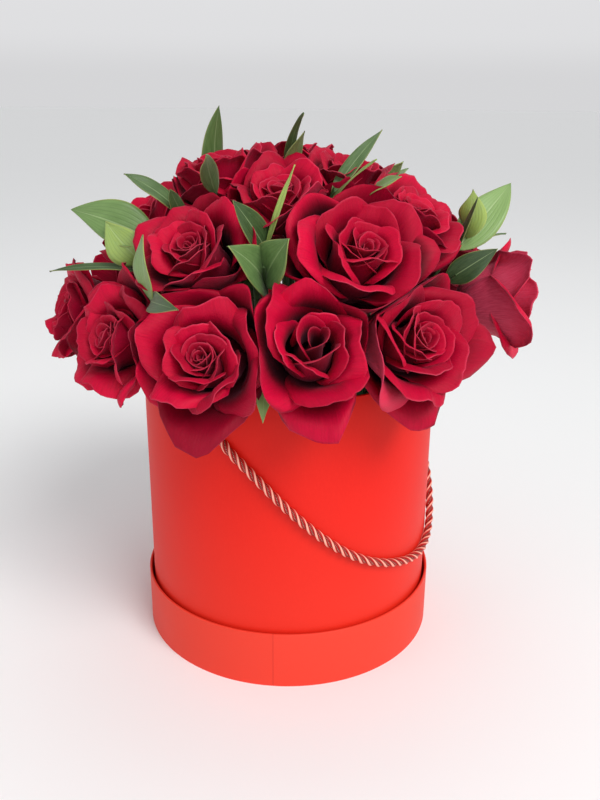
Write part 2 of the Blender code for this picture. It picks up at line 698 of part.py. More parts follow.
def leaf_rows(gap, depth, heading, rise, droop, length, width, roll):
    """Points of a leaf in rows, from its stalk on the twig to its tip."""
    angle = math.radians(heading)
    ahead = gap.up * math.cos(angle) + gap.right * math.sin(angle)
    beside = gap.right * math.cos(angle) - gap.up * math.sin(angle)
    rows, point, reached, steps = [], gap.at(depth), 0, 20
    for along, columns in LEAF_ROWS:
        while reached < round(along * steps):
            lift = math.radians(rise - droop * (reached + 0.5) / steps)
            point = point + (ahead * math.cos(lift) + gap.out * math.sin(lift)) * (length / steps)
            reached += 1
        lift = math.radians(rise - droop * along)
        normal = gap.out * math.cos(lift) - ahead * math.sin(lift)
        turn = math.radians(roll) * along
        side = beside * math.cos(turn) + normal * math.sin(turn)
        half = max(width / 2 * math.sin(math.pi * along ** 0.85) ** 0.9, LEAF_STALK)
        rows.append([point + side * (across * half) + normal * (abs(across) * half * LEAF_FOLD)
                     for across in columns])
    return rows


def make_spray(number, roses, hole, hole_radius, twigs):
    """Leafy stem from its foam hole, with a twig through each gap between the blooms."""
    name = f"leafy_spray_{number}"
    top = polar(hole, hole_radius, FOAM_TOP)
    end = polar(hole, hole_radius * TWIG_SPLAY, FOAM_TOP - STEM_DEPTH)
    up = (top - end).normalized()
    parts = []
    for where, fork, leaves in twigs:
        gap = find_gap(roses, where)
        start = top + up * fork
        rest = curve_points(start, start + up * 0.025, gap.at(TWIG_PULL), gap.at(TWIG_END), 5)
        points = [end if not parts else start] + rest[0 if not parts else 1:] + [gap.at(TWIG_TIP)]
        radii = [TWIG_RADIUS * (1.0 if not parts else 0.85)] * (len(points) - 1)
        radii.append(TWIG_RADIUS * 0.6)
        parts.append(add_object(f"{name}_twig_{len(parts)}", sweep(points, radii, 5)))
        for leaf in leaves:
            parts.append(free_blade(f"{name}_leaf_{len(parts)}", leaf_rows(gap, *leaf)))
    spray = fuse(parts[0], parts[1:])
    spray.name = name
    add_material(spray, "leaf")
    return top, end, TWIG_RADIUS


def main():
    for obj in list(bpy.data.objects):
        bpy.data.objects.remove(obj, do_unlink=True)
    roses = [Rose(number, row) for number, row in enumerate(ROSES, 1)]
    for rose in roses:
        rose.find_walls(roses)
    make_box()
    make_rope()
    stem_lines = [(rose.hole_top, rose.hole_end, STEM_RADIUS) for rose in roses]
    for number, spray in enumerate(SPRAYS, 1):
        stem_lines.append(make_spray(number, roses, *spray))
    make_filling(stem_lines)
    for rose in roses:
        make_stem(rose)
        make_bloom(rose)


main()
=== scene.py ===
import math

import bmesh
import bpy
import numpy as np
from mathutils import Matrix, Vector


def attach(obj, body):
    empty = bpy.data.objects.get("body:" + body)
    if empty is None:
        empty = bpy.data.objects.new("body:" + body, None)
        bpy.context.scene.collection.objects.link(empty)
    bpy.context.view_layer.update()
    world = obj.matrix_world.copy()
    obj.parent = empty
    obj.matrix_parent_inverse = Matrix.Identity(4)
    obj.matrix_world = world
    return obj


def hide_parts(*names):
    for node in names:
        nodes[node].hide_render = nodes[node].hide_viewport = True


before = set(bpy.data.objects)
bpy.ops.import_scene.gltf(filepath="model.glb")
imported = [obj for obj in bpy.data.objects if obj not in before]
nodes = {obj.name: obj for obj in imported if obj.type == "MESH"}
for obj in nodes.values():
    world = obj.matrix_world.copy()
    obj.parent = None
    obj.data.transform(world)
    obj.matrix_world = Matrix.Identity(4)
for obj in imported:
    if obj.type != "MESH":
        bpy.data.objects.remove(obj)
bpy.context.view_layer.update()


def mix(a, b, t):
    return a + (b - a) * t


def smooth(low, high, value):
    t = np.clip((value - low) / (high - low), 0.0, 1.0)
    return t * t * (3.0 - 2.0 * t)


def polar(azimuth, radius, height):
    # azimuth in degrees from the front (-Y) towards the right (+X)
    angle = math.radians(azimuth)
    return Vector((radius * math.sin(angle), -radius * math.cos(angle), height))


def linear(red, green, blue):
    # a colour as seen on screen, 0 to 255, as all colours here are given
    return tuple(((c / 255 + 0.055) / 1.055) ** 2.4 if c > 10 else c / 3295
                 for c in (red, green, blue)) + (1.0,)


def addObject(name, data):
    made = bpy.data.objects.new(name, data)
    bpy.context.scene.collection.objects.link(made)
    return made


def storeValues(piece, name, values):
    # one number for each vertex, which the finishes read by its name
    layer = piece.data.attributes.new(name, "FLOAT", "POINT")
    layer.data.foreach_set("value", np.array(values, np.float32))


def setStops(ramp, stops):
    while len(ramp.elements) < len(stops):
        ramp.elements.new(0.5)
    for element, (place, colour) in zip(ramp.elements, stops):
        element.position = place
        element.color = colour


class Signal:
    # a value in a material's nodes that can be reckoned with as a number
    def __init__(self, finish, socket):
        self.finish = finish
        self.socket = socket

    def calc(self, operation, *others):
        made = self.finish.node("ShaderNodeMath", {"operation": operation},
                                dict(enumerate(others)))
        return Signal(self.finish, made.outputs[0])

    def __add__(self, other):
        return self.calc("ADD", self, other)

    def __radd__(self, other):
        return self.calc("ADD", other, self)

    def __sub__(self, other):
        return self.calc("SUBTRACT", self, other)

    def __rsub__(self, other):
        return self.calc("SUBTRACT", other, self)

    def __mul__(self, other):
        return self.calc("MULTIPLY", self, other)

    def __rmul__(self, other):
        return self.calc("MULTIPLY", other, self)

    def sine(self):
        return self.calc("SINE", self)

    def size(self):
        return self.calc("ABSOLUTE", self)

    def step(self, low, high):
        # 0 below low to 1 above high, eased between them
        made = self.finish.node("ShaderNodeMapRange", {"interpolation_type": "SMOOTHSTEP"},
                                {"Value": self, "From Min": low, "From Max": high})
        return Signal(self.finish, made.outputs["Result"])


class Shading:
    # a node tree, and the one way to add a node to it
    def __init__(self, tree):
        self.tree = tree

    def node(self, kind, settings, values):
        made = self.tree.nodes.new(kind)
        for key, value in settings.items():
            if key == "stops":
                setStops(made.color_ramp, value)
            else:
                setattr(made, key, value)
        for key, value in values.items():
            source = getattr(value, "socket", value)
            if isinstance(source, bpy.types.NodeSocket):
                self.tree.links.new(source, made.inputs[key])
            else:
                made.inputs[key].default_value = value
        return made


class Finish(Shading):
    # one material, made of a Principled shader and what feeds it
    def __init__(self, name, roughness=0.5, **constants):
        self.material = bpy.data.materials.new(name)
        self.material.use_nodes = True
        super().__init__(self.material.node_tree)
        self.shader = self.tree.nodes["Principled BSDF"]
        self.shader.inputs["Roughness"].default_value = roughness
        for socket, value in constants.items():
            self.shader.inputs[socket.replace("_", " ")].default_value = value

    def attribute(self, name):
        return Signal(self, self.node("ShaderNodeAttribute", {"attribute_name": name}, {})
                      .outputs["Fac"])

    def place(self, scale=(1.0, 1.0, 1.0)):
        where = self.node("ShaderNodeTexCoord", {}, {}).outputs["Object"]
        return self.node("ShaderNodeMapping", {}, {"Vector": where, "Scale": scale}).outputs[0]

    def axes(self, vector):
        apart = self.node("ShaderNodeSeparateXYZ", {}, {0: vector})
        return [Signal(self, socket) for socket in apart.outputs]

    def vector(self, x, y, z):
        return self.node("ShaderNodeCombineXYZ", {}, {0: x, 1: y, 2: z}).outputs[0]

    def noise(self, vector, scale, detail=3.0, rough=0.5):
        made = self.node("ShaderNodeTexNoise", {}, {"Vector": vector, "Scale": scale,
                                                    "Detail": detail, "Roughness": rough})
        return Signal(self, made.outputs["Fac"])

    def blend(self, amount, first, second):
        settings = {"data_type": "RGBA", "clamp_factor": True}
        first, second = (linear(*c) if isinstance(c, tuple) else c for c in (first, second))
        return self.node("ShaderNodeMix", settings, {0: amount, 6: first, 7: second}).outputs[2]

    def ramp(self, value, stops):
        stops = [(place, linear(*colour)) for place, colour in stops]
        return self.node("ShaderNodeValToRGB", {"stops": stops}, {0: value}).outputs[0]

    def feed(self, name, source):
        self.tree.links.new(getattr(source, "socket", source), self.shader.inputs[name])

    def bump(self, height, distance, strength=1.0):
        made = self.node("ShaderNodeBump", {}, {"Height": height, "Distance": distance,
                                                "Strength": strength})
        self.feed("Normal", made.outputs[0])


# camera, floor and lights
camera = {"place": (0.0, -0.5818, 0.3768), "pitch": 20.10, "yaw": 0.75, "roll": 0.5,
          "lens": 39.36, "sensor": 36.0}


def makeCamera():
    pitch, yaw, roll = (math.radians(camera[key]) for key in ("pitch", "yaw", "roll"))
    ahead = Vector((math.sin(yaw) * math.cos(pitch), math.cos(yaw) * math.cos(pitch),
                    -math.sin(pitch)))
    right = ahead.cross(Vector((0, 0, 1))).normalized()
    up = right.cross(ahead)
    turned = right * math.cos(roll) + up * math.sin(roll)
    upright = up * math.cos(roll) - right * math.sin(roll)
    data = bpy.data.cameras.new("photoCamera")
    data.lens = camera["lens"]
    data.sensor_width = camera["sensor"]
    data.clip_end = 30.0
    made = addObject("photoCamera", data)
    made.matrix_world = Matrix.Translation(camera["place"]) @ Matrix(
        (turned, upright, -ahead)).transposed().to_4x4()
    bpy.context.scene.camera = made


studio = {
    "floor": (246, 247, 247), "floorCloud": (238, 239, 239), "floorSize": 12.0,
    "sky": (246, 246, 248),
    # how bright the sky is by its height, 0 at the horizon to 1 overhead
    "skyPowers": ((0.0, 0.725), (0.05, 0.80), (0.16, 0.86), (0.34, 0.46), (1.0, 0.44)),
    # one lamp from far away, which lights the floor evenly
    "farPower": 1.34, "farAngle": 28.0, "farAim": (-0.50, 0.75, -0.85),
    # name: place, aimed at, size, power, colour
    "lamps": {
        "keyLamp": ((0.85, -0.95, 1.35), (0, 0, 0.20), 0.55, 7.0, (1.0, 0.98, 0.95)),
        "fillLamp": ((-1.3, -0.7, 0.8), (0, 0, 0.20), 1.0, 2.0, (0.95, 0.97, 1.0)),
        "frontLamp": ((0.35, -1.5, 0.75), (0, 0, 0.15), 0.8, 4.0, (1.0, 0.99, 0.97)),
        "topLamp": ((0.1, 0.5, 1.7), (0, 0, 0.25), 1.0, 3.5, (1.0, 1.0, 1.0)),
    },
}


def makeFloor():
    bm = bmesh.new()
    bmesh.ops.create_grid(bm, x_segments=1, y_segments=1, size=studio["floorSize"])
    mesh = bpy.data.meshes.new("floor")
    bm.to_mesh(mesh)
    bm.free()
    floor = addObject("floor", mesh)
    finish = Finish("floorPaint", roughness=0.75)
    cloud = finish.noise(finish.place(), 3.0)
    finish.feed("Base Color", finish.blend(cloud * 0.12, studio["floor"],
                                           studio["floorCloud"]))
    mesh.materials.append(finish.material)


def addLamp(name, lamp, direction):
    made = addObject(name, lamp)
    made.rotation_mode = "QUATERNION"
    made.rotation_quaternion = direction.to_track_quat("-Z", "Y")
    return made


def makeLamps():
    for name, (place, aim, size, power, colour) in studio["lamps"].items():
        lamp = bpy.data.lights.new(name, "AREA")
        lamp.size = size
        lamp.energy = power
        lamp.color = colour
        addLamp(name, lamp, Vector(aim) - Vector(place)).location = place
    far = bpy.data.lights.new("farLamp", "SUN")
    far.energy = studio["farPower"]
    far.angle = math.radians(studio["farAngle"])
    addLamp("farLamp", far, Vector(studio["farAim"]))


def makeSky():
    world = bpy.data.worlds.new("softDaylight")
    world.use_nodes = True
    shading = Shading(world.node_tree)
    sky = world.node_tree.nodes["Background"]
    sky.inputs["Color"].default_value = linear(*studio["sky"])
    where = shading.node("ShaderNodeTexCoord", {}, {}).outputs["Generated"]
    height = shading.node("ShaderNodeSeparateXYZ", {}, {0: where}).outputs["Z"]
    stops = [(place, (power, power, power, 1.0)) for place, power in studio["skyPowers"]]
    powers = shading.node("ShaderNodeValToRGB", {"stops": stops}, {0: height})
    powers.color_ramp.interpolation = "EASE"
    world.node_tree.links.new(powers.outputs[0], sky.inputs["Strength"])
    bpy.context.scene.world = world
    bpy.context.scene.view_settings.view_transform = "Standard"  # keeps the strong reds


makeCamera()
makeFloor()
makeLamps()
makeSky()
print("camera, floor and lamps are set")


def finishPiece(name, bm, finishes, node, crease):
    # the piece that takes one node's place; edges past the crease angle stay sharp
    mesh = bpy.data.meshes.new(name)
    bm.to_mesh(mesh)
    bm.free()
    mesh.shade_smooth()
    mesh.set_sharp_from_angle(angle=math.radians(crease))
    for finish in finishes:
        mesh.materials.append(finish.material)
    piece = addObject(name, mesh)
    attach(piece, "root")
    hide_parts(node)
    return piece


def dressNode(node, finish):
    nodes[node].data.materials.clear()
    nodes[node].data.materials.append(finish.material)


def thicken(piece, thickness, offset):
    shell = piece.modifiers.new("thickness", "SOLIDIFY")
    shell.thickness = thickness
    shell.offset = offset
    return shell


def flatGrid(bm, columns, rows):
    return bmesh.ops.create_grid(bm, x_segments=columns, y_segments=rows, size=1.0)["verts"]


def growRing(bm, ring, edges):
    # the open end of a tube extruded: its fresh ring, in the old order, and that ring's edges
    grown = bmesh.ops.extrude_edge_only(bm, edges=edges)["geom"]
    above = {}
    for vert in grown:
        if isinstance(vert, bmesh.types.BMVert):
            for edge in vert.link_edges:
                above[edge.other_vert(vert)] = vert
    ring = [above[vert] for vert in ring]
    edges = [edge for edge in grown if isinstance(edge, bmesh.types.BMEdge)
             and all(vert in ring for vert in edge.verts)]
    return ring, edges


def sweepTube(bm, points, radii, sides):
    # a closed round body along points: its first ring is extruded from one to the next
    ring = bmesh.ops.create_circle(bm, cap_ends=True, segments=sides, radius=1.0)["verts"]
    edges = list(ring[0].link_faces[0].edges)
    side = Vector((1.0, 0.0, 0.0))
    last = len(points) - 1
    rings = []
    for k, point in enumerate(points):
        along = (points[min(k + 1, last)] - points[max(k - 1, 0)]).normalized()
        if abs(side.dot(along)) > 0.99:
            side = Vector((0.0, 1.0, 0.0))
        side = (side - along * side.dot(along)).normalized()
        across = along.cross(side)
        if k:
            ring, edges = growRing(bm, ring, edges)
        for i, vert in enumerate(ring):
            turn = math.tau * i / sides
            vert.co = point + (side * math.cos(turn) + across * math.sin(turn)) * radii[k]
        rings.append(ring)
    bmesh.ops.contextual_create(bm, geom=edges)
    bmesh.ops.recalc_face_normals(bm, faces=bm.faces)
    return rings


def curvePoints(start, startPull, endPull, end, count):
    points = []
    for index in range(count):
        t = index / (count - 1)
        points.append(start * (1 - t) ** 3 + startPull * (3 * t * (1 - t) ** 2)
                      + endPull * (3 * t * t * (1 - t)) + end * t ** 3)
    return points


# the paper box and its lid
box = {"radius": 0.100, "top": 0.200, "low": 0.0023, "board": 0.0020, "round": 0.0007,
       "lidRadius": 0.1035, "lidTop": 0.040, "lidBoard": 0.0016, "lidRound": 0.0006,
       "steps": 160,
       # where the paper's lap is, in degrees, and the paper's colour
       "seam": 176.0, "lidSeam": -5.5, "tint": (224, 20, 4), "lidTint": (228, 62, 46)}


def paperFinish(name, seam, tint):
    finish = Finish(name, roughness=0.50, Specular_IOR_Level=0.24)
    where = finish.place()
    x, y, z = finish.axes(where)
    cloud = finish.noise(where, 14.0, 4.0)
    fibre = finish.noise(finish.place((1.0, 1.0, 0.35)), 900.0, 2.0)
    base = finish.blend(cloud, tint, (tint[0] - 8, tint[1], tint[2]))
    base = finish.blend(fibre.step(0.35, 0.75) * 0.10, base, (242, 44, 26))
    # painted light: the paper is made paler and pinker towards the bottom, where the pale floor
    # throws light on it
    low = 1.0 - z.step(0.02, 0.17)
    base = finish.blend(low * (0.30 + cloud * 0.25), base, (232, 60, 40))
    past = x.calc("ARCTAN2", x, y * -1.0) - math.radians(seam)
    line = 1.0 - past.size().step(0.0015, 0.006)
    lap = past.step(-0.002, 0.002)
    base = finish.blend(line * 0.30, base, (184, 22, 18))
    finish.feed("Base Color", base)
    finish.feed("Roughness", 0.42 + cloud * 0.10 + fibre * 0.06)
    finish.bump(fibre * 0.25 + lap * 0.9 + finish.noise(where, 60.0) * 0.5, 0.00012)
    return finish


def turnedWall(name, node, outer, board, low, high, rounding, finish):
    bm = bmesh.new()
    inner = outer - board
    corners = ((outer, low), (outer, high), (inner, high), (inner, low))
    verts = [bm.verts.new((radius, 0.0, height)) for radius, height in corners]
    for k in range(4):
        bm.edges.new((verts[k - 1], verts[k]))
    bmesh.ops.spin(bm, geom=bm.verts[:] + bm.edges[:], cent=(0, 0, 0), axis=(0, 0, 1),
                   angle=math.tau, steps=box["steps"], use_merge=True)
    bmesh.ops.remove_doubles(bm, verts=bm.verts, dist=1e-6)
    bmesh.ops.recalc_face_normals(bm, faces=bm.faces)
    lips = [edge for edge in bm.edges if all(abs(v.co.z - high) < 1e-6 for v in edge.verts)
            and abs(edge.verts[0].co.xy.length - edge.verts[1].co.xy.length) < 1e-5]
    bmesh.ops.bevel(bm, geom=lips, offset=rounding, affect="EDGES", segments=3, profile=0.5,
                    material=-1, clamp_overlap=True)
    finishPiece(name, bm, [finish], node, 50)


def makeBox():
    paper = paperFinish("wrappedPaper", box["seam"], box["tint"])
    lidPaper = paperFinish("lidPaper", box["lidSeam"], box["lidTint"])
    turnedWall("lidRim", "lid_rim", box["lidRadius"], box["lidBoard"], 0.0, box["lidTop"],
               box["lidRound"], lidPaper)
    turnedWall("boxWall", "box_wall", box["radius"], box["board"], box["low"], box["top"],
               box["round"], paper)
    dressNode("lid_disc", lidPaper)
    dressNode("box_floor", paper)


makeBox()
print("box and lid are made")


# the rope handle
rope = {
    "radius": 0.00275, "strands": 3, "lay": 0.0222, "pipingAndSheen": 0.00012, "step": 0.0009,
    "sides": 64, "core": 0.66,  # the grooves go in to this share of the radius
    "knot": 0.0062, "knotTurns": 3, "knotSlant": 5.0, "knotGroove": 0.20,
    # azimuth, radius and height of each point, from the front knot to the back one
    "route": ((-30.7, 0.0874, 0.1808), (-28.5, 0.0918, 0.1778), (-25.5, 0.0981, 0.1736),
              (-23.9, 0.1008, 0.1713), (-22.1, 0.1025, 0.1685), (-20.3, 0.1031, 0.1656),
              (-16.7, 0.1031, 0.1595), (-9.0, 0.1031, 0.1460), (-2.0, 0.1031, 0.1330),
              (5.0, 0.1031, 0.1205), (12.0, 0.1031, 0.1090), (20.0, 0.1031, 0.0975),
              (30.0, 0.1031, 0.0865), (41.0, 0.1031, 0.0785), (52.0, 0.1031, 0.0730),
              (62.0, 0.1031, 0.0710), (71.0, 0.1031, 0.0730), (80.0, 0.1031, 0.0805),
              (88.0, 0.1031, 0.0920), (97.0, 0.1031, 0.1065), (107.0, 0.1031, 0.1210),
              (118.0, 0.1031, 0.1335), (130.0, 0.1031, 0.1450), (141.0, 0.1031, 0.1550),
              (150.0, 0.1031, 0.1638), (152.1, 0.1025, 0.1660), (154.2, 0.1008, 0.1680),
              (156.1, 0.0981, 0.1698), (159.5, 0.0918, 0.1730), (162.1, 0.0874, 0.1752)),
}


def throughPoints(points, step):
    # evenly spaced points of a smooth curve through the route
    ends = [points[0] * 2 - points[1]] + points + [points[-1] * 2 - points[-2]]
    slopes = []
    for before, here, after in zip(ends, ends[1:], ends[2:]):
        back, ahead = (here - before).length, (after - here).length
        slopes.append((here - before) * (ahead / back / (back + ahead))
                      + (after - here) * (back / ahead / (back + ahead)))
    fine = []
    for start, end, slope, nextSlope in zip(points, points[1:], slopes, slopes[1:]):
        span = (end - start).length
        fine += curvePoints(start, start + slope * (span / 3), end - nextSlope * (span / 3),
                            end, 33)[:-1]
    fine.append(points[-1])
    lengths = [0.0]
    for a, b in zip(fine, fine[1:]):
        lengths.append(lengths[-1] + (b - a).length)
    evenly = np.linspace(0.0, lengths[-1], round(lengths[-1] / step) + 1)
    spaced = [np.interp(evenly, lengths, axis) for axis in zip(*fine)]
    return [Vector(point) for point in zip(*spaced)], lengths[-1]


def ropeFinish():
    finish = Finish("satinCord", roughness=0.45, Specular_IOR_Level=0.25)
    groove = finish.attribute("groove")
    strand = finish.attribute("strandTurn")
    along = finish.attribute("ropeRun")
    threads = (strand * 22.0 - along * 900.0).sine() * 0.5 + 0.5
    across = strand.size() * (rope["strands"] / math.pi)
    # painted highlight: a pale line along the crest of each strand, wider where the cord faces
    # down, stands in for the satin's sheen
    pipingAndSheen = 1.0 - (across - finish.attribute("under") * 0.20).step(0.12, 0.26)
    # painted shade: the grooves between the strands are coloured near black, where shade falls
    # between them
    base = finish.blend(groove, (178, 14, 14), (70, 0, 2))
    base = finish.blend(threads * 0.20 * (1.0 - groove), base, (214, 50, 42))
    base = finish.blend(pipingAndSheen * (0.80 + threads * 0.20), base, (254, 182, 160))
    finish.feed("Base Color", base)
    finish.feed("Roughness", 0.30 + groove * 0.35)
    finish.bump(threads, 0.00010, 0.8)
    return finish


satinCord = ropeFinish()


def strandRadius(angle, share):
    # the rope's radius across one strand, with the piping on its crest
    offset = rope["radius"] / (1.0 + math.sin(share / 2))
    spread = max((rope["radius"] - offset) ** 2 - (offset * math.sin(angle)) ** 2, 0.0)
    radius = max(offset * math.cos(angle) + math.sqrt(spread), rope["radius"] * rope["core"])
    return radius + rope["pipingAndSheen"] * float(1.0 - smooth(0.10, 0.34, abs(angle) / (share / 2)))


def makeRope():
    points, total = throughPoints([polar(*row) for row in rope["route"]], rope["step"])
    bm = bmesh.new()
    rings = sweepTube(bm, points, [rope["radius"]] * len(points), rope["sides"])
    bm.verts.index_update()
    layers = {name: np.zeros(len(bm.verts))
              for name in ("groove", "strandTurn", "ropeRun", "under")}
    share = math.tau / rope["strands"]
    run = 0.0
    for k, ring in enumerate(rings):
        run += (points[k] - points[k - 1]).length if k else 0.0
        turned = -math.tau * run / rope["lay"]
        for i, vert in enumerate(ring):
            angle = (math.tau * i / rope["sides"] + turned + share / 2) % share - share / 2
            out = (vert.co - points[k]) / rope["radius"]
            vert.co = points[k] + out * strandRadius(angle, share)
            # where the grooves between strands lie, which the cord's finish paints as shade
            layers["groove"][vert.index] = smooth(0.52, 0.98, abs(angle) / (share / 2))
            layers["strandTurn"][vert.index] = angle
            layers["ropeRun"][vert.index] = run
            # how far the surface faces down, which widens the painted highlight there
            layers["under"][vert.index] = 0.5 - 0.5 * out.z
    piece = finishPiece("ropeHandle", bm, [satinCord], "rope_handle", 80)
    for name, values in layers.items():
        storeValues(piece, name, values)
    return piece, points, total


def makeKnot(name, node, end, inner):
    # the rope's end drawn into a knot: a ball of rope wound round in a slant
    outward = (end - inner).normalized()
    centre = end + outward * (rope["knot"] + 0.0003)
    bm = bmesh.new()
    bmesh.ops.create_icosphere(bm, subdivisions=5, radius=rope["knot"])
    groove, strand = [], []
    for vert in bm.verts:
        place = vert.co.normalized()
        wave = math.sin(rope["knotTurns"] * math.atan2(place.y, place.x)
                        + rope["knotSlant"] * place.z)
        fold = 0.5 - 0.5 * wave
        vert.co = place * (rope["knot"] * (0.985 - rope["knotGroove"] * fold ** 3))
        # how deep in a fold each point lies, which the cord's finish paints as shade
        groove.append(fold ** 3)
        strand.append((1.0 - fold) * math.pi / rope["strands"])
    turn = outward.to_track_quat("Z", "Y").to_matrix().to_4x4()
    bmesh.ops.transform(bm, verts=bm.verts, matrix=Matrix.Translation(centre) @ turn)
    piece = finishPiece(name, bm, [satinCord], node, 80)
    storeValues(piece, "groove", groove)
    storeValues(piece, "strandTurn", strand)
    return piece


ropeHandle, ropeLine, ropeLength = makeRope()
knots = [makeKnot("knotFront", "rope_knot_front", ropeLine[0], ropeLine[1]),
         makeKnot("knotBack", "rope_knot_back", ropeLine[-1], ropeLine[-2])]
ropeLine[::5] + [ropeLine[-1]]
print("rope is", round(ropeLength, 4), "m from knot to knot")


# the roses
bloom = {
    "width": 0.106, "depth": 0.054, "columns": 16, "rows": 17, "thick": 0.0004,
    "small": -0.3, "smallGrid": 12,  # from this place inwards the petals are small
    "middle": 0.55,     # where it is pressed by its neighbours, as a share of the depth
    "neighbours": 0.12, "clear": -0.0010, "sharp": 8, "rise": 0.35,  # how they press it
    "turn": 1.9,        # from one bloom to the next, round its own axis
    "lip": 0.0016,      # how far a petal's edge rolls over
    "pivot": 0.78,      # the bud leans up about this share of the depth
    "holeTop": 0.160, "holeEnd": 0.115, "holeLean": 0.86,  # where its stem stands in the foam
    # by rose: the bud's lean in degrees, whose backs are pale, how far it is turned round its
    # own axis and drawn in to a point, and where it is more closed than its solid
    # the pale backs of rose 6 are painted light, on a rose that its neighbours shade
    "lean": 15, "leans": {3: 27, 4: 30, 5: 20, 6: -8, 12: 12, 13: 10}, "pale": (6,),
    "turns": {6: 0.60}, "cones": {4: 1.0}, "openings": {1: 0.70, 4: 0.74, 6: 0.56},
    # certain petals, by rose and place: how far their sides roll back, in degrees
    "folds": {(2, 0.59): 100, (2, 0.74): 125, (3, 0.53): 125, (3, 0.67): 100, (4, 0.42): 95,
              (4, 0.86): 110, (5, 0.83): 45, (5, 0.91): 62, (6, 0.67): 20, (6, 0.83): 20,
              (12, 0.59): 110, (13, 0.53): 45, (13, 0.67): 120, (14, 0.67): 95,
              (19, 0.74): 95, (20, 0.67): 100},
    # their tone: 1 dark, 0 plain, -1 a pale back, -2 pale on both sides; the dark ones listed
    # are painted shade on petals that lie in shade
    "tones": {(1, 0.83): 0.9, (2, 0.74): 1.0, (3, 0.83): 1.45, (5, 0.67): -1.5,
              (5, 0.74): 0.9, (12, 0.91): 1.0, (13, 0.67): 1.0},
    # how far the outline is drawn to a point, and how wide and long those petals are
    "points": {(2, 0.91): 0.8, (3, 0.83): 0.9, (4, 1.0): 0.6, (5, 0.74): 0.8, (5, 0.91): 0.5,
               (6, 0.91): 0.7},
    "widths": {(3, 0.83): 1.45, (4, 1.0): 0.88, (5, 0.67): 1.35, (6, 0.83): 1.15},
    "lengths": {(3, 0.83): 1.04, (5, 0.67): 1.08, (5, 0.74): 1.06, (5, 0.91): 0.90,
                (6, 0.67): 1.06, (6, 0.83): 0.92},
    # how much further up their inner side stays in shade
    "hollows": {(2, 0.67): 0.2, (12, 0.67): 0.2, (13, 0.67): 0.28, (13, 0.74): 0.20},
}
# three rings of roses, each with how far out their stems stand in the foam: azimuth, radius
# and height of the eye, azimuth faced, tilt, size and opening
roseRings = (
    (0.070,
     (-80, 0.160, 0.239, -71, 80, 0.90, 0.75),
     (-51.5, 0.151, 0.238, -53, 78, 0.98, 0.85),
     (-21, 0.147, 0.237, -22, 79, 1.10, 1.00),
     (6, 0.144, 0.248, 5, 75, 1.08, 0.90),
     (34, 0.146, 0.244, 33, 77, 1.12, 1.00),
     (76, 0.161, 0.252, 90, 80, 0.94, 0.70),
     (112, 0.150, 0.240, 112, 77, 1.12, 0.95),
     (155, 0.150, 0.240, 155, 77, 1.12, 0.90),
     (-159, 0.150, 0.240, -159, 77, 1.12, 1.00),
     (-118, 0.150, 0.240, -118, 77, 1.12, 0.85)),
    (0.044,
     (-84, 0.104, 0.304, -84, 46, 1.00, 0.90),
     (-32, 0.118, 0.298, -32, 52, 0.98, 0.95),
     (23.5, 0.116, 0.297, 22, 50, 1.18, 1.10),
     (56, 0.099, 0.315, 55, 42, 0.94, 0.92),
     (94, 0.122, 0.287, 94, 58, 0.96, 0.85),
     (138, 0.114, 0.294, 138, 52, 1.08, 1.00),
     (-170, 0.114, 0.296, -170, 52, 1.08, 0.90),
     (-127, 0.114, 0.296, -127, 52, 1.06, 1.00)),
    (0.019,
     (-5, 0.074, 0.329, -5, 34, 0.94, 0.92),
     (-66, 0.054, 0.339, -66, 22, 0.94, 0.85),
     (48, 0.054, 0.338, 48, 22, 0.90, 0.85),
     (178, 0.048, 0.341, 178, 16, 1.00, 0.95)),
)


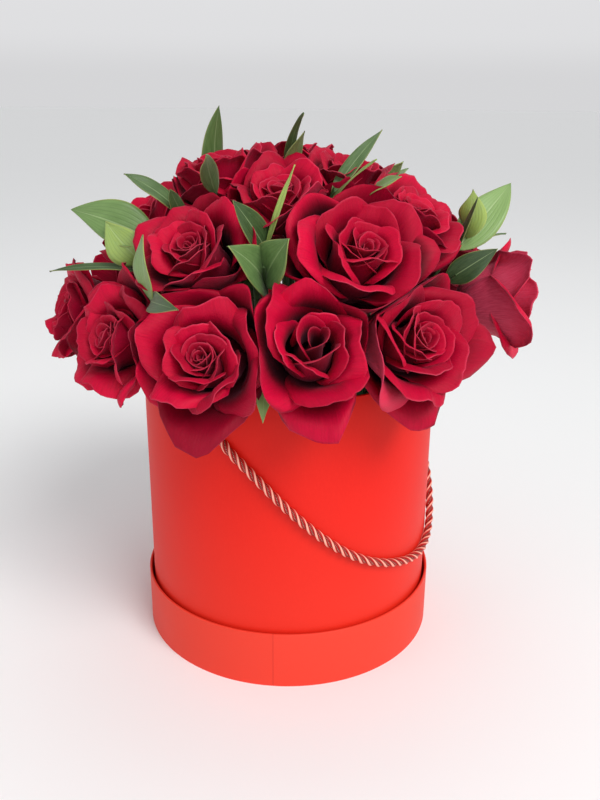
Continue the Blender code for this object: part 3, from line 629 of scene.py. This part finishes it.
class Rose:
    # where one rose is, and the planes that part it from its neighbours
    def __init__(self, number, holeRadius, row):
        azimuth, radius, height, facing, tilt, size, opening = row
        self.number = number
        self.label = f"{number:02d}"
        self.size = size
        self.opening = bloom["openings"].get(number, opening)
        self.eye = polar(azimuth, radius, height)
        lean = math.radians(tilt)
        self.axis = polar(facing, math.sin(lean), math.cos(lean))
        self.depth = bloom["depth"] * mix(1.0, size, 0.5)
        self.base = self.eye - self.axis * self.depth
        self.middle = self.base + self.axis * (self.depth * bloom["middle"])
        self.holeTop = polar(azimuth, holeRadius, bloom["holeTop"])
        self.holeEnd = polar(azimuth, holeRadius * bloom["holeLean"], bloom["holeEnd"])
        upright = self.axis.to_track_quat("Z", "Y").to_matrix().to_4x4()
        turn = number * bloom["turn"] + bloom["turns"].get(number, 0.0)
        self.frame = np.array(Matrix.Translation(self.base) @ upright
                              @ Matrix.Rotation(turn, 4, "Z"))
        self.reach = size * bloom["width"] / 2
        self.walls = []
        upward = Vector((0, 0, 1)) - self.axis * self.axis.z
        self.upward = np.array(upward.normalized()) @ self.frame[:3, :3]
        self.lean = math.radians(bloom["leans"].get(number, bloom["lean"]))

    def parting(self, other):
        # the way to another rose, and how far along it the two are parted
        span = other.middle - self.middle
        room = span.length ** 2 + self.reach ** 2 - other.reach ** 2
        return span.normalized(), room / (2 * span.length)

    def findWalls(self, roses):
        for other in roses:
            near = (other.middle - self.middle).length < bloom["neighbours"]
            if near and other is not self:
                way, offset = self.parting(other)
                self.walls.append((np.array(way), offset - bloom["clear"]))

    def leanUp(self, points, place):
        # the inner petals are turned towards the light, the outer ones stay
        share = smooth(0.05, 0.55, points[:, 2] / self.depth)
        angle = self.lean * (1.0 - 0.85 * smooth(0.0, 0.9, place)) * share
        pivot = self.depth * bloom["pivot"]
        beside = points @ self.upward
        height = points[:, 2] - pivot
        moved = beside * np.cos(angle) + height * np.sin(angle) - beside
        raised = height * np.cos(angle) - beside * np.sin(angle)
        leant = points + moved[:, None] * self.upward
        leant[:, 2] = raised + pivot
        return leant

    def put(self, points):
        # points of the bloom in the box, drawn in where a neighbour presses
        radius = np.maximum(np.hypot(points[:, 0], points[:, 1]), 1e-6)
        flat = points / radius[:, None]
        flat[:, 2] = 0.0
        outward = flat @ self.frame[:3, :3].T
        height = points[:, 2] - self.depth * bloom["middle"]
        press = np.ones(len(points))
        axis = np.array(self.axis)
        for direction, offset in self.walls:
            facing = outward @ direction
            room = (offset - height * (axis @ direction)) / np.maximum(facing, 0.02)
            squeeze = (radius / np.maximum(room, 0.2 * self.reach)) ** bloom["sharp"]
            press += np.where(facing > 0.02, squeeze, 0.0)
        drawn = press ** (-1.0 / bloom["sharp"])
        placed = points * np.stack([drawn, drawn, np.ones(len(points))], 1)
        placed[:, 2] += radius * (1.0 - drawn) * bloom["rise"]
        return placed @ self.frame[:3, :3].T + self.frame[:3, 3]


roses = []
for holeRadius, *rows in roseRings:
    for row in rows:
        roses.append(Rose(len(roses) + 1, holeRadius, row))
for rose in roses:
    rose.findWalls(roses)

# petals from the outside in: place (1 outermost, 0 where the bud starts, -1 its heart)
# and the turn round the bloom
petalPlaces = ((1.0, 0.65), (0.91, 0.25), (0.83, 0.85), (0.74, 0.45), (0.67, 0.05),
               (0.59, 0.56), (0.53, 0.18), (0.46, 0.78), (0.39, 0.37), (0.32, 0.96),
               (0.26, 0.60), (0.20, 0.22), (0.14, 0.83), (0.09, 0.45), (0.03, 0.05),
               (-0.05, 0.66), (-0.12, 0.28), (-0.20, 0.90), (-0.28, 0.50), (-0.36, 0.12),
               (-0.44, 0.74), (-0.52, 0.36), (-0.60, 0.98), (-0.67, 0.60), (-0.74, 0.24),
               (-0.81, 0.85), (-0.87, 0.48), (-0.93, 0.10), (-1.0, 0.70))

# the rose whose bud stands free: a cone with an open tip among wide petals
budPlaces = ((1.0, 0.55), (0.91, 0.27), (0.86, 0.87), (0.76, 0.39), (0.70, 0.05),
             (0.58, 0.62), (0.50, 0.18), (0.42, 0.80), (0.24, 0.30), (0.17, 0.78),
             (0.02, 0.45), (-0.10, 0.02), (-0.40, 0.60), (-0.62, 0.20), (-0.92, 0.70),
             (-1.0, 0.20))

petal = {
    # from the first petal of the bud to the outermost one: lean in degrees, length, half the
    # width, how far a side is tucked in, and how the corners are cut
    "rootLean": (48, 82), "middleLean": (-6, 40), "tipLean": (2, 112),
    "length": (0.050, 0.066), "halfWidth": (0.0165, 0.034), "tuck": (0.13, 0.05),
    "corner": (0.30, 0.40), "cornerPower": (3.4, 1.9),
    # waves along the edge: how many, and how high
    "waves": ((1.3, 0.0013), (2.7, 0.0009), (5.3, 0.0004), (9.1, 0.00015)),
    "steps": 48,
}


def petalShape(place, across, along, size, opening, quirk):
    # radius, turn and height of a petal's points; across -1 to 1, along 0 to 1
    heart = min(place, 0.0)
    spread = max(place, 0.0)
    rootLean = mix(*petal["rootLean"], spread) + heart * 40
    middleLean = mix(*petal["middleLean"], spread ** 1.3) * opening
    middleLean += heart * 4 + quirk["lean"]
    cone = quirk["cone"] * (1.0 - smooth(0.10, 0.38, place))
    rootLean += 46 * cone * (1.0 + heart)
    middleLean -= cone * (9 + 18 * heart)
    tipLean = mix(*petal["tipLean"], spread ** 1.4) * mix(0.6, 1.0, opening) * quirk["roll"]
    tipLean += 26 * (1.0 + heart) * (1 - spread) ** 2
    length = mix(*petal["length"], spread) * size * (1.0 + 0.15 * heart) * quirk["long"]
    length *= 1.0 + 0.16 * cone
    # the petal's line from root to tip, followed in small steps that lean as told
    steps = petal["steps"]
    t = (np.arange(steps) + 0.5) / steps
    side = np.abs(across - quirk["skew"])
    rollStart = 0.80 - 0.22 * np.minimum(side, 1.1) ** 1.5
    lean = mix(rootLean, middleLean, smooth(0.0, 0.42, t))[None, :]
    lean = mix(lean, tipLean + quirk["curl"] * side[:, None] ** 2,
               smooth(rollStart[:, None] - 0.2, rollStart[:, None] + 0.25, t[None, :]))
    lean = np.radians(lean)
    zero = np.zeros((len(across), 1))
    radii = 0.0025 * size + np.hstack([zero, np.cumsum(np.sin(lean), 1)]) * length / steps
    heights = 0.001 + np.hstack([zero, np.cumsum(np.cos(lean), 1)]) * length / steps
    at = np.clip(along * steps, 0, steps - 1e-6)
    low = at.astype(int)
    part = at - low
    row = np.arange(len(across))
    radius = radii[row, low] * (1 - part) + radii[row, low + 1] * part
    height = heights[row, low] * (1 - part) + heights[row, low + 1] * part
    lip = np.radians(tipLean + quirk["curl"] * side ** 2)
    outline = smooth(-0.25, 0.62, along) - 0.10 * smooth(0.75, 1.0, along)
    halfWidth = mix(*petal["halfWidth"], spread) * size * outline * quirk["wide"]
    turn = across * np.minimum(halfWidth / np.maximum(radius, 0.004), 1.9 - 0.3 * heart)
    radius = radius * (1.0 - quirk["tuck"] * across * smooth(0.1, 0.6, along))
    return radius, turn, height, lip


def petalPoints(rose, place, turnShare, across, rise, rng):
    # rise is 0 at the root to 1 at the edge; the edge is rounded, with a blunt point
    quirk = {"lean": rng.normal(0, 3.0 if place > 0.1 else 1.2), "roll": rng.uniform(0.85, 1.15),
             "skew": rng.normal(0, 0.16), "curl": rng.uniform(0, 62) * smooth(0.05, 0.5, place),
             "long": rng.uniform(0.95, 1.04), "cone": bloom["cones"].get(rose.number, 0.0),
             "wide": rng.uniform(0.94, 1.06),
             "tuck": mix(*petal["tuck"], max(place, 0.0))}
    key = rose.number, place
    quirk["curl"] = bloom["folds"].get(key, quirk["curl"])
    quirk["long"] *= bloom["lengths"].get(key, 1.0)
    quirk["wide"] *= bloom["widths"].get(key, 1.0)
    point = bloom["points"].get(key, 0.0)
    pointed = smooth(0.35, 1.0, place)
    corner = (mix(mix(*petal["corner"], pointed), 0.46, point)
              * np.abs(across) ** mix(mix(*petal["cornerPower"], pointed), 1.05, point))
    tip = 0.07 * pointed * np.exp(-np.abs(across - quirk["skew"]) / 0.16)
    along = rise * (0.97 - corner + tip)
    radius, turn, height, lip = petalShape(place, across, along, rose.size, rose.opening,
                                           quirk)
    rolled = bloom["lip"] * rose.size * rng.uniform(0.6, 1.3) * smooth(0.86, 1.02, rise) ** 1.4
    radius = radius + rolled * np.cos(lip)
    height = height - rolled * np.sin(lip)
    # soft waves along the edge, outwards and upwards
    wave, lift = np.zeros_like(across), np.zeros_like(across)
    for count, size in petal["waves"]:
        wave += size * np.sin(count * across * math.pi + rng.uniform(0, math.tau))
        lift += size * np.sin(count * across * math.pi + rng.uniform(0, math.tau))
    edge = smooth(0.55, 1.0, rise)
    width = mix(0.18, 1.0, smooth(-0.4, 0.6, place))
    radius = radius + wave * edge * width
    height = height + lift * edge * width
    spin = turn + math.tau * turnShare + rng.normal(0, 0.05) * (1.0 if place < 0.66 else 0.0)
    points = np.stack([radius * np.cos(spin), radius * np.sin(spin), height], 1)
    return rose.put(rose.leanUp(points, place))


def petalFinish(name, back):
    finish = Finish(name, roughness=0.50, Specular_IOR_Level=0.15,
                    Sheen_Weight=0.14 if back else 0.10,
                    Sheen_Roughness=0.45, Sheen_Tint=(1.0, 0.30, 0.45, 1.0),
                    Subsurface_Weight=0.05, Subsurface_Scale=0.002,
                    Subsurface_Radius=(1.0, 0.15, 0.15))
    rise = finish.attribute("rise")
    rim = finish.attribute("rim")
    tone = finish.attribute("tone")
    across = finish.attribute("across")
    veinPlace = finish.vector(across * 7.0 + rise * 0.6, rise * 1.4, tone * 9.0)
    veins = finish.noise(veinPlace, 5.0, 5.0, 0.62)
    cloud = finish.noise(finish.place(), 45.0, 3.0)
    # painted light and shade: deep is the colour in painted shade, lit the colour in painted
    # light
    if back:
        deep, lit, pale = (64, 0, 16), (178, 8, 52), (236, 96, 120)
    else:
        deep, lit, pale = (10, 0, 3), (206, 0, 54), (240, 84, 118)
    # painted light: dark at a petal's root and in the heart, light towards its edge; on the back
    # the shade also gathers towards the root
    light = finish.attribute("daylight")
    if back:
        light = rise.step(0.1, 0.7) * 0.5 + light * 0.5
    base = finish.blend(light, deep, lit)
    base = finish.blend(veins.step(0.40, 0.70) * (0.20 if back else 0.13), base, deep)
    # darker by tone: at random from petal to petal, and painted shade on the dark petals listed
    # in the tones
    toneAndShade = tone.step(0.0, 1.0) * 0.45 + tone.step(1.0, 1.6) * 0.4
    base = finish.blend(toneAndShade, base, (112, 0, 24))
    # minus one stands for a pale back, minus two for both sides pale; the pale backs of rose 6
    # are painted light on a rose that its neighbours shade
    paleness = (tone * -1.0 - (0.0 if back else 1.0)).step(0.0, 1.0)
    paleness = paleness * (0.26 + veins.step(0.3, 0.7) * 0.26)
    base = finish.blend(paleness, base, (232, 84, 116))
    # painted highlight: a thin line of the pale colour along the petal's edge, where the rolled
    # lip catches the light
    edge = rise.step(0.983, 0.999) * cloud.step(0.30, 0.70)
    base = finish.blend(edge * 0.34, base, pale)
    base = finish.blend(cloud.step(0.62, 0.78) * rim.step(0.2, 0.9) * 0.5, base,
                        (96, 8, 26))
    worn = rise.step(0.93, 0.99) * finish.attribute("outer") * cloud.step(0.42, 0.62)
    base = finish.blend(worn * 0.75, base, (74, 10, 22))
    finish.feed("Base Color", base)
    finish.feed("Roughness", 0.44 + veins * 0.16)
    finish.bump(veins + cloud * 0.7, 0.0006, 0.60)
    return finish


petalFront = petalFinish("petalFront", False)
petalBack = petalFinish("petalBack", True)


def petalLayers(rose, place, across, rise, rng):
    # what petalFinish reads on one petal
    # rose 6's outer petals get painted light on their backs
    tone = -1.0 if rose.number in bloom["pale"] and place > 0.3 else rng.uniform(0, 1)
    key = rose.number, place
    tone = bloom["tones"].get(key, tone)
    heart = max(-place, 0.0)
    shade = 0.50 + 0.36 * heart + bloom["hollows"].get(key, 0.0)
    return {"rise": rise, "across": across,
            "rim": np.maximum(smooth(0.88, 1.0, rise),
                              smooth(0.88, 1.0, np.abs(across)) * rise),
            "tone": np.full(len(rise), tone),
            # painted light: shade near the root, deeper in the heart and in the hollows, light
            # at the edge
            "daylight": (1.0 - 0.42 * heart) * smooth(shade, 0.94 + 0.06 * heart, rise),
            "outer": np.full(len(rise), smooth(0.55, 0.95, place))}


def makeBloom(rose):
    rng = np.random.default_rng(500 + rose.number)
    bm = bmesh.new()
    parts = []
    for place, turnShare in budPlaces if rose.number in bloom["cones"] else petalPlaces:
        grid = (bloom["smallGrid"],) * 2 if place <= bloom["small"] else (
            bloom["columns"], bloom["rows"])
        verts = flatGrid(bm, *grid)
        across = np.array([vert.co.x for vert in verts])
        rise = 1 - (1 - np.array([(vert.co.y + 1) / 2 for vert in verts])) ** 1.35
        points = petalPoints(rose, place, turnShare, across, rise, rng)
        for vert, point in zip(verts, points):
            vert.co = point
        parts.append(petalLayers(rose, place, across, rise, rng))
    piece = finishPiece("roseBloom" + rose.label, bm, [petalBack, petalFront],
                        "rose_bloom_" + rose.label, 75)
    for name in parts[0]:
        storeValues(piece, name, np.concatenate([part[name] for part in parts]))
    thicken(piece, bloom["thick"], -1.0).material_offset = 1


for rose in roses:
    makeBloom(rose)
print("blooms are made")


# stems with their sepals
stem = {"radius": 0.0023, "sides": 12, "neck": 0.014, "climb": 0.030, "bend": 0.016,
        # how far behind the bloom's base, and how thick there
        "calyx": ((0.0090, 0.0034), (0.0060, 0.0050), (0.0034, 0.0058), (0.0018, 0.0060),
                  (0.0, 0.0050)),
        "sepals": 5, "sepalStart": 0.0042, "sepalReach": 0.01512, "sepalWidth": 0.0068,
        "sepalDrop": 0.009, "sepalCup": 0.0012, "sepalThick": 0.0005}


def stemFinish():
    finish = Finish("stemGreen", roughness=0.5, Specular_IOR_Level=0.4)
    grain = finish.noise(finish.place((1.0, 1.0, 0.3)), 160.0, 4.0)
    finish.feed("Base Color", finish.blend(grain.step(0.3, 0.7), (40, 62, 28),
                                           (84, 108, 50)))
    finish.bump(grain, 0.0003, 0.5)
    return finish


stemGreen = stemFinish()


def makeSepal(bm, rose, outward):
    beside = rose.axis.cross(outward)
    verts = flatGrid(bm, 4, 8)
    for vert in verts:
        across, along = vert.co.x, (vert.co.y + 1) / 2
        half = stem["sepalWidth"] / 2 * math.sin(math.pi * (0.25 + 0.74 * along)) ** 0.9
        drop = stem["sepalDrop"] * along ** 1.8 + stem["sepalCup"] * across * across
        spot = rose.base - rose.axis * (0.0016 + drop)
        spot += outward * (stem["sepalStart"] + stem["sepalReach"] * along)
        vert.co = spot + beside * (across * half)
    skin = list({face for vert in verts for face in vert.link_faces})
    bmesh.ops.solidify(bm, geom=skin, thickness=stem["sepalThick"])


def makeStem(rose):
    up = (rose.holeTop - rose.holeEnd).normalized()
    neck = rose.base - rose.axis * stem["neck"]
    points = [rose.holeEnd] + curvePoints(rose.holeTop, rose.holeTop + up * stem["climb"],
                                          neck - rose.axis * stem["bend"], neck, 14)
    radii = [stem["radius"]] * len(points)
    for back, radius in stem["calyx"]:
        points.append(rose.base - rose.axis * back)
        radii.append(radius)
    bm = bmesh.new()
    sweepTube(bm, points, radii, stem["sides"])
    aside = rose.axis.orthogonal().normalized()
    aside = Matrix.Rotation(rose.number * 1.3, 3, rose.axis) @ aside
    for k in range(stem["sepals"]):
        makeSepal(bm, rose, Matrix.Rotation(math.tau * k / stem["sepals"], 3, rose.axis) @ aside)
    finishPiece("roseStem" + rose.label, bm, [stemGreen], "rose_stem_" + rose.label,
                60)


for rose in roses:
    makeStem(rose)
print("stems are made")


# the leafy sprays
spray = {"twig": 0.0011, "sides": 10, "stalk": 0.0007, "fold": 0.18, "ripple": 0.0006,
         "foamTop": 0.160, "foamDeep": 0.045, "climb": 0.025, "thick": 0.00055,
         # how far inside the opening a twig's curve is drawn, ends and carries its tips
         "pull": 0.045, "end": 0.028, "tips": (0.019, 0.010),
         "columns": 8, "rows": 26, "steps": 60}
# foam hole, then twigs: where they come out, fork above the foam, and their leaves:
# depth, heading, rise, droop, length, width, roll, and tone 0 dark to 1 yellow-green
# the darkest leaf tones are partly painted shade, for leaves that lie in shade among the blooms
sprayRows = (
    (-33, 0.060,
     ((2, 11, 12), 0.0,
      (0.014, -35, 83, 30, 0.033, 0.024, -20, 0.78),
      (0.025, -123, 59, 30, 0.067, 0.007, 0, 0.10)),
     ((-57.6, 0.1045, 0.2925, 46), 0.010,
      (0.012, -94, 60, 30, 0.057, 0.0265, 50, 0.40)),
     ((2, 3, 12), 0.012,
      (0.009, 38, 58, 20, 0.052, 0.018, 12, 0.50),
      (0.009, 105, 55, 40, 0.052, 0.012, 0, 0.12))),
    (-40, 0.034,
     ((12, 19, 20), 0.0,
      (0.010, 142, 66, 30, 0.054, 0.0115, -30, 0.28)),
     ((11, 12, 20), 0.012,
      (0.012, -116, 87, 30, 0.040, 0.013, 20, 0.20),
      (0.016, 98, 72, 20, 0.025, 0.010, 0, 0.18))),
    (-14, 0.054,
     ((4, 12, 13), 0.0,
      (0.040, -90, 91, 40, 0.057, 0.025, 20, 0.35),
      (0.027, 68, 78, 20, 0.041, 0.025, -20, 0.36)),
     ((12, 13, 19), 0.020,
      (0.017, 29, 58, 20, 0.050, 0.0035, 0, 0.90),
      (0.020, -60, 70, 20, 0.040, 0.017, 0, 0.08)),
     ((-6.5, 0.128, 0.222, 100), 0.004,
      (0.030, 157, 55, 30, 0.030, 0.015, 90, 0.12),
      (0.021, 182, 79, 60, 0.038, 0.013, 50, 0.60))),
    (24, 0.034,
     ((19, 20, 21), 0.0,
      (0.024, 149, 68, 20, 0.045, 0.011, 0, 0.45),
      (0.018, 157, 75, 40, 0.055, 0.006, 20, 0.15)),
     ((13, 19, 21), 0.014,
      (0.014, 46, 43, 30, 0.052, 0.010, 20, 0.20),
      (0.025, 107, 77, 20, 0.045, 0.0035, 0, 0.70)),
     ((13, 14, 21), 0.008,
      (0.014, 119, 66, 20, 0.028, 0.014, 0, 0.50))),
    (72, 0.052,
     ((6, 14, 15), 0.0,
      (0.015, 74, 76, 30, 0.060, 0.025, 20, 0.55),
      (0.006, -50, 56, 10, 0.032, 0.018, -90, 0.85),
      (0.026, -80, 68, 20, 0.051, 0.007, 40, 0.10),
      (0.013, 105, 43, 20, 0.045, 0.004, 0, 0.30)),
     ((5, 6, 14), 0.012,
      (0.019, 65, 72, 30, 0.036, 0.016, 0, 0.02))),
    (118, 0.046,
     ((15, 16, 21), 0.0,
      (0.016, 120, 70, 30, 0.040, 0.018, 15, 0.40),
      (0.018, -120, 74, 30, 0.036, 0.016, -15, 0.60)),
     ((7, 8, 16), 0.012,
      (0.018, -30, 78, 30, 0.060, 0.026, 10, 0.35),
      (0.020, 50, 80, 40, 0.052, 0.024, -20, 0.20))),
    (-150, 0.046,
     ((9, 17, 18), 0.0,
      (0.018, -50, 70, 30, 0.060, 0.026, 20, 0.50),
      (0.020, 60, 74, 40, 0.054, 0.024, -10, 0.25)),
     ((8, 9, 17), 0.014,
      (0.016, 10, 70, 30, 0.050, 0.028, 10, 0.40),
      (0.010, 178, 34, 30, 0.052, 0.024, 5, 0.25)),
     ((11, 18, 20), 0.008,
      (0.035, 49, 65, 30, 0.072, 0.021, 25, 0.30),
      (0.016, -150, 50, 30, 0.034, 0.016, 0, 0.55))),
)


class Opening:
    # where a twig comes out between blooms, and the directions there
    def __init__(self, end, out):
        self.end = end
        self.out = out
        upward = Vector((0.0, 0.3, 1.0))
        self.up = (upward - out * upward.dot(out)).normalized()
        self.right = self.up.cross(out)

    def at(self, depth):
        return self.end - self.out * depth


def findOpening(where):
    if len(where) == 4:
        azimuth, radius, height, tilt = where
        lean = math.radians(tilt)
        return Opening(polar(azimuth, radius, height),
                       polar(azimuth, math.sin(lean), math.cos(lean)))
    first, second, third = (roses[number - 1] for number in where)
    rows, offsets = [], []
    for other in (second, third):
        way, offset = first.parting(other)
        rows.append(way)
        offsets.append(way.dot(first.middle) + offset)
    rows.append((second.eye - first.eye).cross(third.eye - first.eye).normalized())
    offsets.append(rows[-1].dot(first.eye))
    end = Matrix(rows).inverted() @ Vector(offsets)
    out = rows[0].cross(rows[1]).normalized()
    if out.dot(end - Vector((0.0, 0.0, 0.200))) < 0.0:
        out.negate()
    return Opening(end, out)


def noteValues(layers, count, *values):
    for name, value in zip(layers, values):
        layers[name] += [value] * count


def growLeaf(bm, layers, opening, row, rng):
    depth, heading, rise, droop, length, width, roll, tone = row
    angle = math.radians(heading)
    ahead = opening.up * math.cos(angle) + opening.right * math.sin(angle)
    beside = opening.right * math.cos(angle) - opening.up * math.sin(angle)
    steps = spray["steps"]
    line = [opening.at(depth)]
    for k in range(steps):
        lift = math.radians(rise - droop * (k + 0.5) / steps)
        line.append(line[-1] + (ahead * math.cos(lift) + opening.out * math.sin(lift))
                    * (length / steps))
    phase = rng.uniform(0, math.tau)
    for vert in flatGrid(bm, spray["columns"], spray["rows"]):
        across, along = vert.co.x, (vert.co.y + 1) / 2
        at = min(along * steps, steps - 1e-6)
        spot = line[int(at)].lerp(line[int(at) + 1], at - int(at))
        lift = math.radians(rise - droop * along)
        normal = opening.out * math.cos(lift) - ahead * math.sin(lift)
        turn = math.radians(roll) * along
        side = beside * math.cos(turn) + normal * math.sin(turn)
        half = max(width / 2 * math.sin(math.pi * along ** 0.73) ** 0.95,
                   spray["stalk"] * (1.0 - along ** 6))
        fold = abs(across) ** 1.3 * half * spray["fold"]
        ripple = spray["ripple"] * math.sin(9.0 * along + phase + 1.5 * across) * across ** 2
        vert.co = spot + side * (across * half) + normal * (fold + ripple)
        noteValues(layers, 1, across, along, tone, 1.0)


def leafFinish():
    finish = Finish("leafGreen", roughness=0.42, Specular_IOR_Level=0.45,
                    Sheen_Weight=0.12, Sheen_Roughness=0.4)
    across = finish.attribute("across")
    along = finish.attribute("along")
    tone = finish.attribute("tone")
    # each leaf's green by its tone; the dark end is partly painted shade
    base = finish.ramp(tone, [(0.0, (40, 62, 30)), (0.3, (80, 110, 58)),
                              (0.55, (128, 160, 92)), (1.0, (166, 186, 84))])
    # veins run from the stalk to the tip, close together at both ends
    lines = (across * 34.0).sine() * 0.5 + 0.5
    veins = lines.step(0.55, 1.0)
    patch = finish.noise(finish.vector(across * 2.0, along * 3.0, tone * 7.0), 2.4, 3.0)
    base = finish.blend(patch.step(0.3, 0.75) * (0.08 + tone * 0.35), base, (138, 168, 106))
    base = finish.blend(veins * 0.12, base, (52, 84, 48))
    midrib = 1.0 - across.size().step(0.015, 0.06)
    base = finish.blend(midrib * 0.40, base, (170, 192, 138))
    margin = across.size().step(0.93, 1.0)
    base = finish.blend(margin * 0.45, base, (176, 176, 96))
    finish.feed("Base Color", base)
    finish.feed("Roughness", 0.36 + patch * 0.18)
    finish.bump(veins * -0.6 + midrib * -1.0, 0.00016, 0.7)
    return finish


leafGreen = leafFinish()


def growTwig(bm, layers, points, radius):
    radii = [radius] * (len(points) - 1) + [spray["twig"] * 0.5]
    rings = sweepTube(bm, points, radii, spray["sides"])
    noteValues(layers, len(rings) * spray["sides"], 0.6, 0.5, 0.25, 0.0)


def makeSpray(number, hole, holeRadius, *twigs):
    rng = np.random.default_rng(900 + number)
    top = polar(hole, holeRadius, spray["foamTop"])
    end = polar(hole, holeRadius * 0.9, spray["foamTop"] - spray["foamDeep"])
    up = (top - end).normalized()
    bm = bmesh.new()
    layers = {"across": [], "along": [], "tone": [], "blade": []}
    for index, (where, fork, *leaves) in enumerate(twigs):
        opening = findOpening(where)
        start = top + up * fork
        points = curvePoints(start, start + up * spray["climb"], opening.at(spray["pull"]),
                             opening.at(spray["end"]), 14)
        points += [opening.at(depth) for depth in spray["tips"]]
        if index:
            growTwig(bm, layers, points, spray["twig"] * 0.85)
        else:
            growTwig(bm, layers, [end] + points, spray["twig"])
        for row in leaves:
            growLeaf(bm, layers, opening, row, rng)
    piece = finishPiece(f"leafySpray{number}", bm, [leafGreen], f"leafy_spray_{number}",
                        60)
    for name, values in layers.items():
        storeValues(piece, name, values)
    group = piece.vertex_groups.new(name="blades")
    group.add([i for i, value in enumerate(layers["blade"]) if value > 0.5], 1.0, "REPLACE")
    thicken(piece, spray["thick"], 0.0).vertex_group = group.name


for number, row in enumerate(sprayRows, 1):
    makeSpray(number, *row)
print("leaves are made")


# foam and film inside the box
def foamFinish():
    finish = Finish("wetFoam", roughness=0.9, Specular_IOR_Level=0.2)
    pores = finish.node("ShaderNodeTexVoronoi", {}, {"Vector": finish.place(),
                                                     "Scale": 900.0})
    pore = Signal(finish, pores.outputs["Distance"])
    cloud = finish.noise(finish.place(), 30.0)
    base = finish.blend(cloud, (38, 74, 44), (58, 98, 58))
    finish.feed("Base Color", finish.blend(pore.step(0.0, 0.5), (22, 46, 28), base))
    finish.bump(pore, 0.0004, 0.8)
    return finish


def filmFinish():
    finish = Finish("linerFilm", roughness=0.18, Specular_IOR_Level=0.6)
    crinkle = finish.noise(finish.place(), 40.0, 5.0, 0.6)
    finish.feed("Base Color", finish.blend(crinkle, (214, 220, 220),
                                           (186, 194, 196)))
    finish.bump(crinkle, 0.0012, 0.6)
    return finish


dressNode("floral_foam", foamFinish())
dressNode("liner_film", filmFinish())
print("foam and film are dressed")
